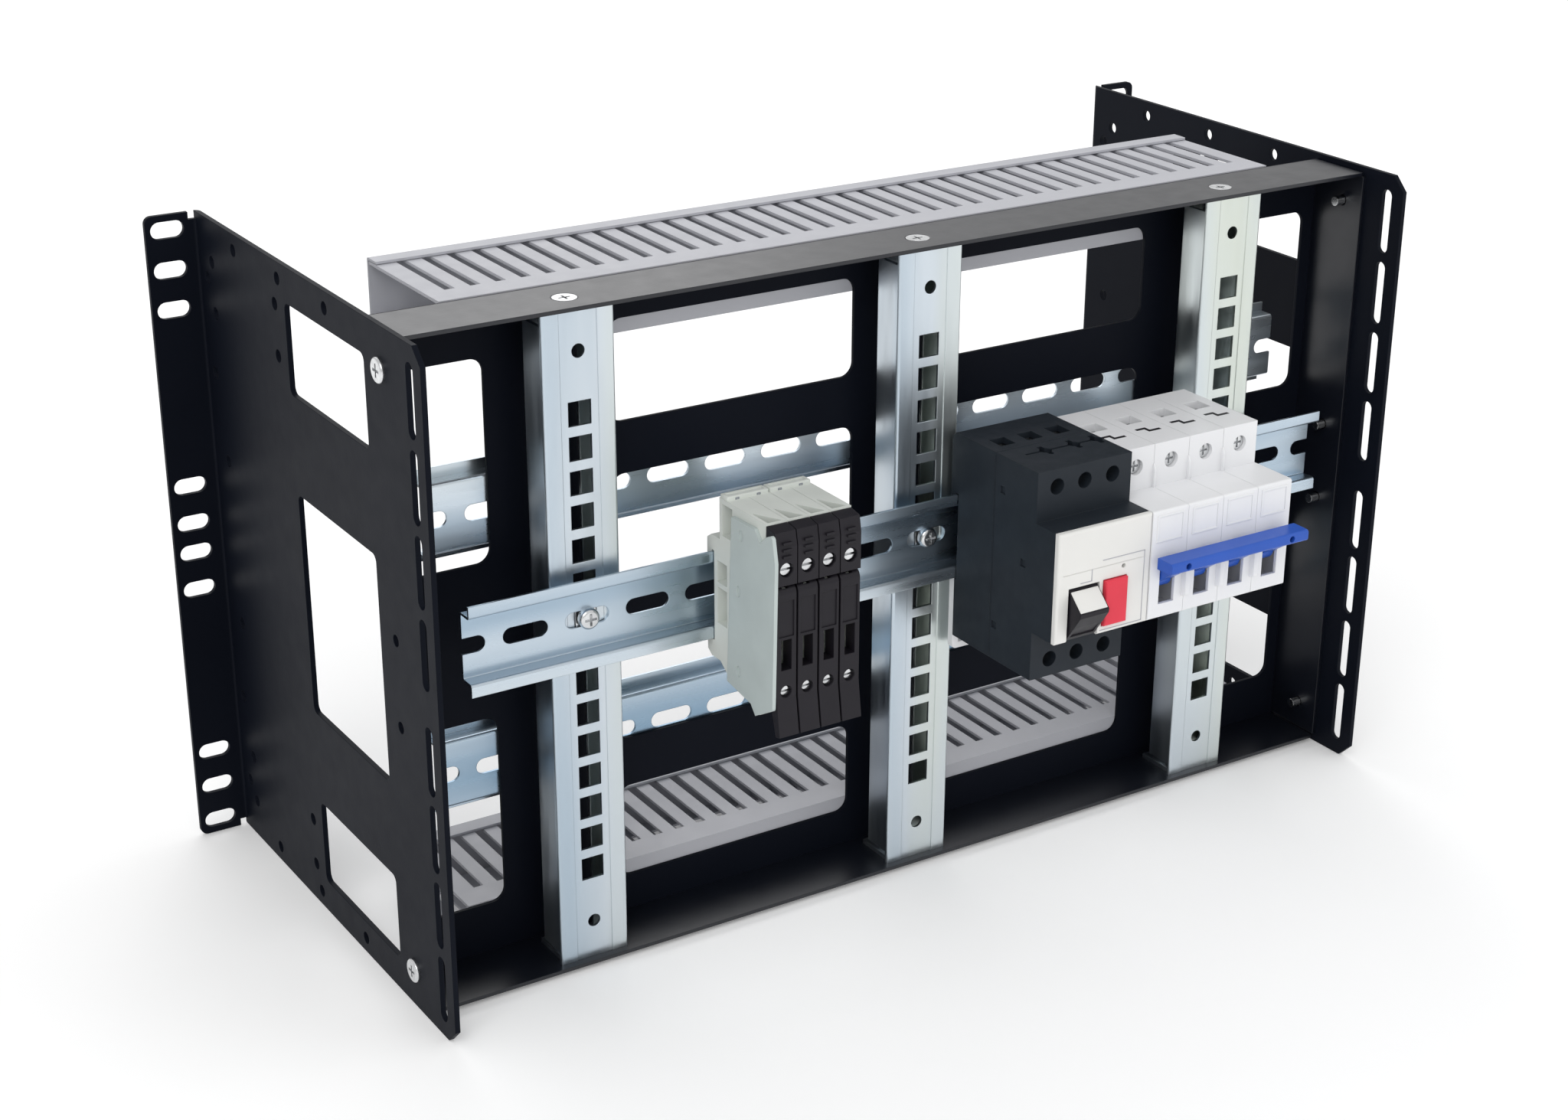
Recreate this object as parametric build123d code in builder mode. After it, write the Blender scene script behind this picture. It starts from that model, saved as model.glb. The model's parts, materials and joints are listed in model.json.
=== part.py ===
from build123d import *
import os

# A 6U, 19 inch DIN-rail chassis: two eared side plates, a shallow tray, three punched posts,
# a front rail with switchgear, two rear rails and two slotted wiring ducts.
# Millimetres. +X right, +Z up, the switchgear faces -Y and the rack ears are at the rear, +Y.
# Origin: bottom centre of the bounding box.

# ---------------------------------------------------------------- driving dimensions
rack_width = 482.6        # ear tip to ear tip
panel_height = 265.9      # six rack units less the fitting gap
ear_width = 20.3
plate_depth = 203.0       # ear face to the front edge of the side plates
plate_sheet = 2.0
tray_sheet = 1.5
tray_setback = 51.5       # front edge of the side plates to the rear face of the tray's panel
tray_flange = 28.0        # tray panel to the front edge of its flanges
tray_gap = 1.95           # tray to the top and bottom of the side plates
post_width = 29.0
post_depth = 25.0         # tray panel to the front face of the posts
rail_end_gap = 19.0       # rail end to the side plate
rear_rail_height = 51.0   # above and below mid height
duct_end_gap = 29.0
duct_depth = 60.5
module_pitch = 17.5       # one pole of the miniature breaker
terminal_pitch = 9.1      # one fuse terminal

# ---------------------------------------------------------------- smaller dimensions
poles = 4
terminals = 4
ear_slot_length = 13.3
ear_slot_width = 6.8
ear_slot_inset = 8.75     # centre of the ear's slots from its tip
ear_slot_ends = (5.95, 21.825, 37.7)   # from the top and bottom of the ear
ear_slot_middle = (22.225, 6.35)       # from mid height
hole_pitch = 13.0         # square holes of the posts
hole_side = 9.2
rail_hole = 1             # the front rail is screwed to this square hole above mid height
rail_depth = 7.5
rail_sheet = 1.0
slot_pitch = 25.0
post_sheet = 1.5
clearance = 0.3

mid = panel_height / 2
body_width = rack_width - 2 * ear_width
half_body = body_width / 2
tray_width = body_width - 2 * plate_sheet
tray_half = mid - tray_gap
tray_rear = plate_depth - tray_setback  # depths are distances forward from the ears' front face
tray_front = tray_rear + tray_sheet
flange_edge = tray_front + tray_flange
post_face = tray_front + post_depth
post_spacing = slot_pitch * int((tray_width / 2 - 60) // slot_pitch)
post_x = (-post_spacing, 0.0, post_spacing)
rail_length = tray_width - 2 * rail_end_gap
duct_length = tray_width - 2 * duct_end_gap
rail_lip = post_face + rail_depth       # depth of the front faces of the front rail's lips
device_z = mid + rail_hole * hole_pitch
breaker_front = rail_lip + 64.5
handle_depth = 12.1                     # front of the tie bar beyond the breaker's face
overall_depth = breaker_front + handle_depth + plate_sheet
ear_y = overall_depth / 2 - plate_sheet


def y_at(depth):
    """Y of a place that is this far forward of the ears' front face."""
    return ear_y - depth


def facing(depth):
    """Plane at a depth, looking out of the front: sketch X is X, sketch Y is Z."""
    return Plane.XZ.offset(depth - ear_y)


def across(x):
    """Plane square to X: sketch X is Y, sketch Y is Z."""
    return Plane.YZ.offset(x)


def box(x0, x1, depth0, depth1, z0, z1, mode=Mode.ADD):
    """Block between two X, two depths and two heights."""
    with BuildSketch(facing(min(depth0, depth1))) as face:
        with Locations(((x0 + x1) / 2, (z0 + z1) / 2)):
            Rectangle(abs(x1 - x0), abs(z1 - z0))
    extrude(face.sketch, amount=abs(depth1 - depth0), mode=mode)


def rod(x, z, radius, depth0, depth1, mode=Mode.ADD):
    """Round bar along the depth."""
    with BuildSketch(facing(min(depth0, depth1))) as face:
        with Locations((x, z)):
            Circle(radius)
    extrude(face.sketch, amount=abs(depth1 - depth0), mode=mode)


def slab(x0, x1, outline, mode=Mode.ADD):
    """Profile given as (depth, height) points, extruded from x0 to x1."""
    with BuildSketch(across(x0)) as face:
        with BuildLine():
            Polyline([(y_at(depth), height) for depth, height in outline], close=True)
        make_face()
    extrude(face.sketch, amount=x1 - x0, mode=mode)


def barrel(x0, x1, depth, z, radius, mode=Mode.ADD):
    """Round bar along X."""
    with BuildSketch(across(x0)) as face:
        with Locations((y_at(depth), z)):
            Circle(radius)
    extrude(face.sketch, amount=x1 - x0, mode=mode)


def save(piece, name):
    piece.part.label = name
    export_step(piece.part, f"parts/{name}.step")


os.makedirs("parts", exist_ok=True)

# ---------------------------------------------------------------- side plates with rack ears
window_width = 70.0
window_setback = 46.5     # front edge of the plate to the windows
window_size = 35.0        # upper and lower windows
window_margin = 13.95     # above the upper window and below the lower one
middle_window = 89.4
edge_slot_length = 27.0
edge_slot_width = 5.6
edge_slot_inset = 9.0
edge_slot_pitch = 30.8
edge_slot_end = 20.05     # centre of the outermost slots from the plate's ends
tray_screw_depth = tray_front + 17.0
tray_screw_end = 15.95    # outer tray screws from the plate's ends
tray_screw_middle = 17.0
window_depth = plate_depth - window_setback - window_width / 2
window_rear = window_depth - window_width / 2
window_z = mid - window_margin - window_size / 2
edge_slot_count = int((mid - edge_slot_end - 5) // edge_slot_pitch) + 1
edge_slot_z = [mid - edge_slot_end - edge_slot_pitch * step for step in range(edge_slot_count)]
tray_screw_z = (mid - tray_screw_end, tray_screw_middle, -tray_screw_middle, tray_screw_end - mid)
vent_holes = (            # depth and height above the middle, also mirrored below it
    (38.0, mid - 6.45), (81.0, mid - 6.45), (124.0, mid - 6.45), (14.0, mid - 16.95),
    (8.0, mid - 24.45), (14.0, mid - 37.45), (8.0, mid - 62.95), (14.0, 35.0),
    (window_rear - 9.5, mid - 16.95), (window_rear - 9.5, mid - 36.95),
)
corner_cut = 6.0
bend_relief = 3.0

for side, name in ((-1, "side_plate_left"), (1, "side_plate_right")):
    inner = side * (half_body - plate_sheet)
    outer = side * half_body
    tip = side * rack_width / 2
    low_x = min(inner, outer) - 1
    with BuildPart() as side_plate:
        with BuildSketch(Plane.XY) as plan:
            with BuildLine():
                Polyline(
                    (inner, y_at(plate_depth)), (inner, ear_y + plate_sheet), (tip, ear_y + plate_sheet),
                    (tip, ear_y), (outer, ear_y), (outer, y_at(plate_depth)), close=True,
                )
            make_face()
            bend_outside = plan.vertices().sort_by_distance((inner, ear_y + plate_sheet))[0]
            fillet(bend_outside, radius=plate_sheet + 1)
            bend_inside = plan.vertices().sort_by_distance((outer, ear_y))[0]
            fillet(bend_inside, radius=1)
        extrude(amount=panel_height)
        # windows, edge slots and small holes through the side
        with BuildSketch(across(low_x)):
            with Locations((y_at(window_depth), mid)):
                RectangleRounded(window_width, middle_window, 3)
                with GridLocations(0, 2 * window_z, 1, 2):
                    RectangleRounded(window_width, window_size, 3)
            for height in edge_slot_z:
                with Locations((y_at(plate_depth - edge_slot_inset), mid + height),
                               (y_at(plate_depth - edge_slot_inset), mid - height)):
                    SlotOverall(edge_slot_length, edge_slot_width, rotation=90)
            with Locations([(y_at(depth), mid + end * height)
                            for depth, height in vent_holes for end in (1, -1)]):
                Circle(2.5)
            with Locations([(y_at(tray_screw_depth), mid + height) for height in tray_screw_z]):
                Circle(2.3)
        extrude(amount=plate_sheet + 2, mode=Mode.SUBTRACT)
        # rack slots in the ear
        with BuildSketch(facing(-plate_sheet - 1)):
            ear_slot_x = side * (rack_width / 2 - ear_slot_inset)
            for height in [mid - inset for inset in ear_slot_ends] + list(ear_slot_middle):
                with Locations((ear_slot_x, mid + height), (ear_slot_x, mid - height)):
                    SlotOverall(ear_slot_length, ear_slot_width)
        extrude(amount=plate_sheet + 2, mode=Mode.SUBTRACT)
        # relief notches at both ends of the bend
        for base in (0, panel_height - bend_relief):
            box(outer, outer + side * bend_relief, -plate_sheet - 1, 1, base, base + bend_relief,
                mode=Mode.SUBTRACT)
        chamfer(side_plate.edges().filter_by(Axis.X).group_by(Axis.Y)[0], length=corner_cut)
        ear_corners = side_plate.edges().filter_by(Axis.Y).group_by(Axis.X)[0 if side < 0 else -1]
        fillet(ear_corners, radius=3)
    save(side_plate, name)

# ---------------------------------------------------------------- tray
post_strip = 25.0         # post centre to the windows beside it
middle_strip = 18.0
tray_windows = (          # x0, x1, z0, z1 from the middle, mirrored left to right and top to bottom
    (post_spacing + post_strip, tray_width / 2 - 7, 31.0, tray_half - 22),
    (middle_strip, post_spacing - post_strip, 75.0, tray_half - 16.5),
    (middle_strip, post_spacing - post_strip, 11.5, 54.5),
)
post_screw_depth = tray_front + 15.5
duct_half = 11.3          # half height over the duct's walls
duct_centre = tray_half + 0.2 - duct_half
corner_gap = 4.0

with BuildPart() as tray:
    box(-tray_width / 2, tray_width / 2, tray_rear, flange_edge, mid - tray_half, mid + tray_half)
    fillet(tray.faces().sort_by(Axis.Y)[-1].edges(), radius=1.2)
    box(-tray_width / 2 + tray_sheet, tray_width / 2 - tray_sheet, tray_front, flange_edge,
        mid - tray_half + tray_sheet, mid + tray_half - tray_sheet, mode=Mode.SUBTRACT)
    # open corners between the folded flanges
    with BuildSketch(facing(tray_front)):
        with Locations((0, mid)):
            with GridLocations(tray_width, 2 * tray_half, 2, 2):
                Rectangle(corner_gap, corner_gap)
    extrude(amount=tray_flange, mode=Mode.SUBTRACT)
    # windows and fixing holes in the panel
    with BuildSketch(facing(tray_rear - 1)):
        for x0, x1, z0, z1 in tray_windows:
            with Locations((0, mid)):
                with GridLocations(x0 + x1, z0 + z1, 2, 2):
                    RectangleRounded(x1 - x0, z1 - z0, 5.5)
        fixing_z = (duct_centre, rear_rail_height, -rear_rail_height, -duct_centre)
        with Locations([(x, mid + height) for x in post_x for height in fixing_z]):
            Circle(2.4)
    extrude(amount=tray_sheet + 2, mode=Mode.SUBTRACT)
    # screw holes in the side flanges
    with BuildSketch(across(-tray_width / 2 - 1)):
        with Locations([(y_at(tray_screw_depth), mid + height) for height in tray_screw_z]):
            Circle(2.3)
    extrude(amount=tray_width + 2, mode=Mode.SUBTRACT)
    # countersunk holes over and under the posts
    with Locations([Plane(origin=(x, y_at(post_screw_depth), mid + end * tray_half), z_dir=(0, 0, end))
                    for x in post_x for end in (1, -1)]):
        CounterSinkHole(radius=3.4, counter_sink_radius=4.9, depth=3, counter_sink_angle=90)

# The tray is folded from one sheet. Its flat panel and its four flanges are kept as two pieces
# that meet at the bends, each a plain plate.
with BuildPart() as panel:
    add(tray.part)
    box(-tray_width, tray_width, tray_front, flange_edge + 1, -1, panel_height + 1, mode=Mode.SUBTRACT)
save(panel, "mounting_tray")

with BuildPart() as tray_flanges:
    add(tray.part)
    box(-tray_width, tray_width, tray_rear - 1, tray_front, -1, panel_height + 1, mode=Mode.SUBTRACT)
save(tray_flanges, "tray_flanges")

# ---------------------------------------------------------------- screws, tray to side plates
side_head_radius = 4.7
side_head_height = 1.7
with BuildPart() as side_screws:
    places = [(side, height) for side in (-1, 1) for height in (tray_screw_z[0], tray_screw_z[-1])]
    places += [(1, height) for height in tray_screw_z[1:3]]
    for side, height in places:
        seat = side * half_body
        end = side * (half_body - 8)
        barrel(min(seat, end), max(seat, end), tray_screw_depth, mid + height, 2.0)
        head = seat + side * side_head_height
        barrel(min(seat, head), max(seat, head), tray_screw_depth, mid + height, side_head_radius)
    for side in (-1, 1):
        crown = side_screws.faces().filter_by(Axis.X).group_by(Axis.X)[0 if side < 0 else -1]
        fillet(crown.edges(), radius=0.9)
    for side, height in places:
        top = side * (half_body + side_head_height)
        floor = side * (half_body + 0.6)
        low, high = min(top, floor), max(top, floor)
        with BuildSketch(across(low)):
            with Locations((y_at(tray_screw_depth), mid + height)):
                Rectangle(5.0, 1.0)
                Rectangle(1.0, 5.0)
        extrude(amount=high - low, mode=Mode.SUBTRACT)
save(side_screws, "tray_side_screws")

# ---------------------------------------------------------------- posts
post_end = tray_half - tray_sheet
post_flange_depth = 14.0
post_lip = 8.5            # inward from the outside of the flanges, along their rear edges
post_groove = (15.0, 0.3) # width and depth of the recess that the square holes sit in
post_tab_depth = 20.0
post_tab_sheet = 2.0
post_round_inset = 15.5
hole_count = 2 * int((post_end - 38) // hole_pitch) + 1

for x0, name in zip(post_x, ("post_left", "post_middle", "post_right")):
    with BuildPart() as post:
        with BuildSketch(Plane.XY.offset(mid - post_end)) as section:
            with Locations((x0, y_at(post_face - post_sheet / 2))):
                Rectangle(post_width, post_sheet)
        extrude(amount=2 * post_end)
        with BuildSketch(Plane.XY.offset(mid - post_end + 5)) as flanges:
            with Locations((x0, y_at(post_face - post_flange_depth / 2))):
                with GridLocations(post_width - post_sheet, 0, 2, 1):
                    Rectangle(post_sheet, post_flange_depth)
            with Locations((x0, y_at(post_face - post_flange_depth + post_sheet / 2))):
                with GridLocations(post_width - post_lip, 0, 2, 1):
                    Rectangle(post_lip, post_sheet)
        extrude(amount=2 * post_end - 10)
        fillet(post.edges().filter_by(Axis.Z).group_by(Axis.Y)[0], radius=1.2)
        box(x0 - post_groove[0] / 2, x0 + post_groove[0] / 2, post_face - post_groove[1], post_face + 1,
            mid - post_end - 1, mid + post_end + 1, mode=Mode.SUBTRACT)
        for end in (-1, 1):
            rim = mid + end * post_end
            tab_half = post_width / 2 - post_sheet
            box(x0 - tab_half, x0 + tab_half, post_face - post_tab_depth, post_face - post_sheet,
                rim, rim - end * post_tab_sheet)
        # square holes and the two round ones
        with BuildSketch(facing(post_face + 1)):
            with Locations((x0, mid)):
                with GridLocations(0, hole_pitch, 1, hole_count):
                    Rectangle(hole_side, hole_side)
            with Locations((x0, mid)):
                with GridLocations(0, 2 * (post_end - post_round_inset), 1, 2):
                    Circle(2.6)
        extrude(amount=-post_sheet - 2, mode=Mode.SUBTRACT)
        with BuildSketch(Plane.XY):
            with Locations((x0, y_at(post_screw_depth))):
                Circle(2.75)
        extrude(amount=panel_height, mode=Mode.SUBTRACT)
    save(post, name)

with BuildPart() as post_screws:
    for x in post_x:
        for end in (1, -1):
            seat = Plane(origin=(x, y_at(post_screw_depth), mid + end * tray_half), z_dir=(0, 0, -end))
            with BuildSketch(seat):
                Circle(4.6)
            extrude(amount=1.5, taper=45)
            with BuildSketch(seat.offset(1.5)):
                Circle(2.4)
            extrude(amount=7)
            with BuildSketch(seat):
                Rectangle(4.6, 0.9)
                Rectangle(0.9, 4.6)
            extrude(amount=1.1, mode=Mode.SUBTRACT)
save(post_screws, "post_screws")

# ---------------------------------------------------------------- DIN rails
def hat_rail(name, mount_depth, toward, height):
    """Hat rail 35 wide on a mounting face, its open side toward the front (1) or the rear (-1)."""
    half = ((0, 13.5), (rail_depth - rail_sheet, 13.5), (rail_depth - rail_sheet, 17.5),
            (rail_depth, 17.5), (rail_depth, 12.5), (rail_sheet, 12.5))
    outline = [(mount_depth + toward * out, height + up) for out, up in half]
    outline += [(mount_depth + toward * out, height - up) for out, up in reversed(half)]
    with BuildPart() as rail:
        slab(-rail_length / 2, rail_length / 2, outline)
        for out, up, radius in ((0, 13.5, 1.3), (rail_sheet, 12.5, 0.4), (rail_depth, 12.5, 1.3)):
            bends = [edge for edge in rail.edges().filter_by(Axis.X)
                     if abs(edge.center().Y - y_at(mount_depth + toward * out)) < 0.01
                     and abs(abs(edge.center().Z - height) - up) < 0.01]
            fillet(bends, radius=radius)
        with BuildSketch(facing(mount_depth - 1 if toward > 0 else mount_depth - rail_sheet - 1)):
            with Locations((0, height)):
                with GridLocations(slot_pitch, 0, 2 * int(rail_length / 2 // slot_pitch) + 1, 1):
                    SlotOverall(18, 6.3)
        extrude(amount=rail_sheet + 2, mode=Mode.SUBTRACT)
    save(rail, name)


hat_rail("front_rail", post_face, 1, device_z)
hat_rail("rear_rail_upper", tray_rear, -1, mid + rear_rail_height)
hat_rail("rear_rail_lower", tray_rear, -1, mid - rear_rail_height)

rail_face = post_face + rail_sheet
with BuildPart() as rail_screws:
    for x in post_x:
        rod(x, device_z, 2.2, rail_face, post_face - 12)
        rod(x, device_z, 4.1, rail_face, rail_face + 3)
    fillet(rail_screws.faces().filter_by(Axis.Y).group_by(Axis.Y)[0].edges(), radius=1.6)
    with BuildSketch(facing(rail_face + 1.2)):
        with Locations([(x, device_z) for x in post_x]):
            Rectangle(4.8, 0.9)
            Rectangle(0.9, 4.8)
    extrude(amount=2, mode=Mode.SUBTRACT)
save(rail_screws, "front_rail_screws")

with BuildPart() as cage_nuts:
    for x in post_x:
        box(x - 4.2, x + 4.2, post_face - 7, post_face - 0.1, device_z - 4.2, device_z + 4.2)
        box(x - 6.6, x + 6.6, post_face - post_sheet - 3, post_face - post_sheet - 0.1,
            device_z - 4.2, device_z + 4.2)
        rod(x, device_z, 2.3, post_face - 8, post_face, mode=Mode.SUBTRACT)
save(cage_nuts, "rail_cage_nuts")

rear_seat = tray_rear - rail_sheet
rear_places = [(x, mid + height) for x in post_x for height in (rear_rail_height, -rear_rail_height)]
with BuildPart() as rear_screws:
    for x, z in rear_places:
        rod(x, z, 2.0, rear_seat - 2.4, tray_front + 4)
        rod(x, z, 3.8, rear_seat - 2.4, rear_seat)
    fillet(rear_screws.faces().filter_by(Axis.Y).group_by(Axis.Y)[-1].edges(), radius=1.2)
    with BuildSketch(facing(rear_seat - 2.4)):
        with Locations(rear_places):
            Rectangle(4.4, 0.9)
            Rectangle(0.9, 4.4)
    extrude(amount=1.2, mode=Mode.SUBTRACT)
save(rear_screws, "rear_rail_screws")

with BuildPart() as rear_nuts:
    with BuildSketch(facing(tray_front)):
        with Locations(rear_places):
            RegularPolygon(radius=4.0, side_count=6)
            Circle(2.1, mode=Mode.SUBTRACT)
    extrude(amount=3.2)
    chamfer(rear_nuts.faces().sort_by(Axis.Y)[:6].edges().filter_by(GeomType.LINE), length=0.4)
save(rear_nuts, "rear_rail_nuts")

# ---------------------------------------------------------------- wiring ducts and covers
duct_base = 1.5
duct_wall = 1.2
duct_slot = 4.0
duct_slot_pitch = 10.0
duct_plain = 12.0         # unslotted strip next to the base
duct_cover_sheet = 1.0
duct_lip = 7.0
duct_gap = 0.2
duct_rear = tray_rear - duct_depth
slot_count = int((duct_length - 2 * duct_slot_pitch) // duct_slot_pitch) + 1

for level, tag in ((1, "top"), (-1, "bottom")):
    centre = mid + level * duct_centre
    inside = duct_half - duct_wall
    with BuildPart() as duct:
        box(-duct_length / 2, duct_length / 2, duct_rear + 2, tray_rear, centre - duct_half,
            centre + duct_half)
        box(-duct_length / 2, duct_length / 2, duct_rear + 2, tray_rear - duct_base,
            centre - inside, centre + inside, mode=Mode.SUBTRACT)
        slot_run = tray_rear - duct_plain - (duct_rear + 2)
        with BuildSketch(Plane.XY.offset(centre - duct_half - 1)):
            with Locations((0, y_at(duct_rear + 2 + slot_run / 2))):
                with GridLocations(duct_slot_pitch, 0, slot_count, 1):
                    Rectangle(duct_slot, slot_run)
        extrude(amount=2 * duct_half + 2, mode=Mode.SUBTRACT)
        for x in post_x:
            rod(x, centre, 2.4, tray_rear - duct_base - 1, tray_rear + 1, mode=Mode.SUBTRACT)
    save(duct, f"duct_{tag}")
    with BuildPart() as cover:
        grip = duct_half + duct_gap
        box(-duct_length / 2, duct_length / 2, duct_rear, duct_rear + duct_cover_sheet + duct_lip,
            centre - grip - duct_cover_sheet, centre + grip + duct_cover_sheet)
        fillet(cover.faces().sort_by(Axis.Y)[-1].edges().filter_by(Axis.X), radius=0.9)
        box(-duct_length / 2, duct_length / 2, duct_rear + duct_cover_sheet,
            duct_rear + duct_cover_sheet + duct_lip, centre - grip, centre + grip, mode=Mode.SUBTRACT)
    save(cover, f"duct_{tag}_cover")

with BuildPart() as rivets:
    rivet_seat = tray_rear - duct_base
    for x in post_x:
        for level in (1, -1):
            z = mid + level * duct_centre
            rod(x, z, 2.1, rivet_seat, tray_front + 4)
            rod(x, z, 4.0, rivet_seat - 1.8, rivet_seat)
            box(x - 0.4, x + 0.4, tray_front, tray_front + 4, z - 3, z + 3, mode=Mode.SUBTRACT)
    fillet(rivets.faces().filter_by(Axis.Y).group_by(Axis.Y)[-1].edges(), radius=0.9)
save(rivets, "duct_rivets")

# ---------------------------------------------------------------- fuse terminals
end_plate_x = -102.0
end_plate_sheet = 1.5
terminal_x0 = end_plate_x + end_plate_sheet
terminal_width = terminal_pitch - 0.1
lip_top = device_z + 17.5
lip_bottom = device_z - 17.5
hook_depth = rail_lip - 1.3             # feet stop just behind the lips
foot_depth = rail_lip - 4.5
body_front = rail_lip + 36.5
face_front = rail_lip + 43.5            # front of heads and levers
terminal_top = device_z + 40.4
head_bottom = device_z + 18.5
pivot_z = device_z + 14.8
pivot_depth = rail_lip + 40.3
pivot_radius = 3.2
lever_pin_radius = 0.9
lug_radius = 1.8
upper_screw_z = device_z + 24.5
lower_screw_z = device_z - 23.2
clamp_depth = rail_lip + 22             # rear of the pockets for the wire clamps
fuse_depth = body_front - 5.5

housing_outline = (
    (rail_lip + 0.4, lip_top + 0.5), (hook_depth, lip_top + 0.5), (hook_depth, lip_top - 3.1),
    (foot_depth, lip_top - 3.1), (foot_depth, lip_top + 4.5), (foot_depth + 3, lip_top + 6.5),
    (rail_lip + 4.5, lip_top + 6.5), (rail_lip + 4.5, terminal_top), (body_front, terminal_top),
    (body_front, device_z - 29), (body_front - 4, device_z - 36), (body_front - 7.5, device_z - 32.6),
    (rail_lip + 11.5, device_z - 30), (rail_lip + 4.5, device_z - 25), (foot_depth + 3, device_z - 25),
    (foot_depth, device_z - 23), (foot_depth, lip_bottom + 3.1), (hook_depth, lip_bottom + 3.1),
    (hook_depth, lip_bottom - 0.5), (rail_lip + 0.4, lip_bottom - 0.5),
)

rear_pockets = (
    (rail_lip + 6.3, rail_lip + 13.5, device_z + 26, terminal_top - 2),
    (rail_lip + 2.6, rail_lip + 9.5, device_z + 6.5, device_z + 15),
    (rail_lip + 2.6, rail_lip + 9.5, device_z - 10, device_z + 4.5),
)

for index in range(terminals):
    x0 = terminal_x0 + index * terminal_pitch
    x1 = x0 + terminal_width
    centre_x = (x0 + x1) / 2
    with BuildPart() as housing:
        slab(x0, x1, housing_outline)
        # fuse chamber, open to the front
        box(centre_x - 3.3, centre_x + 3.3, fuse_depth - 8, body_front + 1, device_z - 18,
            device_z + 10, mode=Mode.SUBTRACT)
        # weight-saving pockets in the left side, behind the end plate
        for depth0, depth1, low_z, high_z in rear_pockets:
            box(x0 - 1, x0 + 6, depth0, depth1, low_z, high_z, mode=Mode.SUBTRACT)
        # screw wells, clamp pockets and wire entries
        for screw_z in (upper_screw_z, lower_screw_z):
            rod(centre_x, screw_z, 2.6, clamp_depth + 12, body_front + 1, mode=Mode.SUBTRACT)
            box(centre_x - 3, centre_x + 3, clamp_depth, clamp_depth + 12, screw_z - 4, screw_z + 4,
                mode=Mode.SUBTRACT)
        box(centre_x - 2.2, centre_x + 2.2, clamp_depth + 1.5, clamp_depth + 7, device_z - 40,
            lower_screw_z, mode=Mode.SUBTRACT)
        # lug that carries the lever's pin
        barrel(centre_x - 1.0, centre_x + 1.0, pivot_depth, pivot_z, lug_radius)
        box(centre_x - 1.0, centre_x + 1.0, body_front - 1, pivot_depth, pivot_z - lug_radius,
            pivot_z + lug_radius)
        barrel(x0, x1, pivot_depth, pivot_z, lever_pin_radius, mode=Mode.SUBTRACT)
        # triangular funnel in the top, which leads the wire down into the upper clamp
        with BuildSketch(Plane.XY.offset(terminal_top)):
            with BuildLine():
                Polyline((centre_x - 3, y_at(body_front - 1)), (centre_x + 3, y_at(body_front - 1)),
                         (centre_x - 3, y_at(body_front - 12)), close=True)
            make_face()
        extrude(amount=upper_screw_z + 3 - terminal_top, mode=Mode.SUBTRACT)
    save(housing, f"fuse_housing_{index + 1}")

with BuildPart() as end_plate:
    slab(end_plate_x, terminal_x0, (
        (rail_lip + 15.3, terminal_top - 3.7), (rail_lip + 31.2, terminal_top - 3.1),
        (rail_lip + 34.9, terminal_top - 7.4), (rail_lip + 39, terminal_top - 3.7),
        (face_front - 0.5, terminal_top - 1.7), (face_front + 1.6, device_z + 28.2),
        (face_front, device_z - 29.7), (rail_lip + 31.7, device_z - 36.3),
        (rail_lip + 28.5, device_z - 32.6), (rail_lip + 11.6, device_z - 30),
        (rail_lip + 12.3, device_z - 19),
    ))
    fillet(end_plate.edges().filter_by(Axis.X).sort_by(Axis.Y)[:3], radius=1.5)
    # shallow moulding marks in the outer face
    with BuildSketch(across(end_plate_x)):
        with Locations((y_at(rail_lip + 22), terminal_top - 9), (y_at(rail_lip + 20), device_z + 9),
                       (y_at(rail_lip + 20), device_z - 23)):
            Ellipse(1.3, 2.2)
    extrude(amount=0.6, mode=Mode.SUBTRACT)
save(end_plate, "fuse_end_plate")

with BuildPart() as heads:
    for index in range(terminals):
        x0 = terminal_x0 + index * terminal_pitch + 0.15
        x1 = x0 + terminal_width - 0.3
        centre_x = (x0 + x1) / 2
        slab(x0, x1, (
            (body_front + 0.1, head_bottom), (face_front, head_bottom), (face_front, device_z + 33),
            (face_front - 1.2, terminal_top - 1.6), (body_front + 0.1, terminal_top - 0.6),
        ))
        for rib in range(3):
            rib_z = device_z + 29.2 + 2.6 * rib
            box(centre_x - 1.8, centre_x + 1.8, face_front - 0.5, face_front + 0.7, rib_z, rib_z + 0.9)
        rod(centre_x, upper_screw_z, 2.8, body_front, face_front + 1, mode=Mode.SUBTRACT)
save(heads, "fuse_heads")

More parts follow.
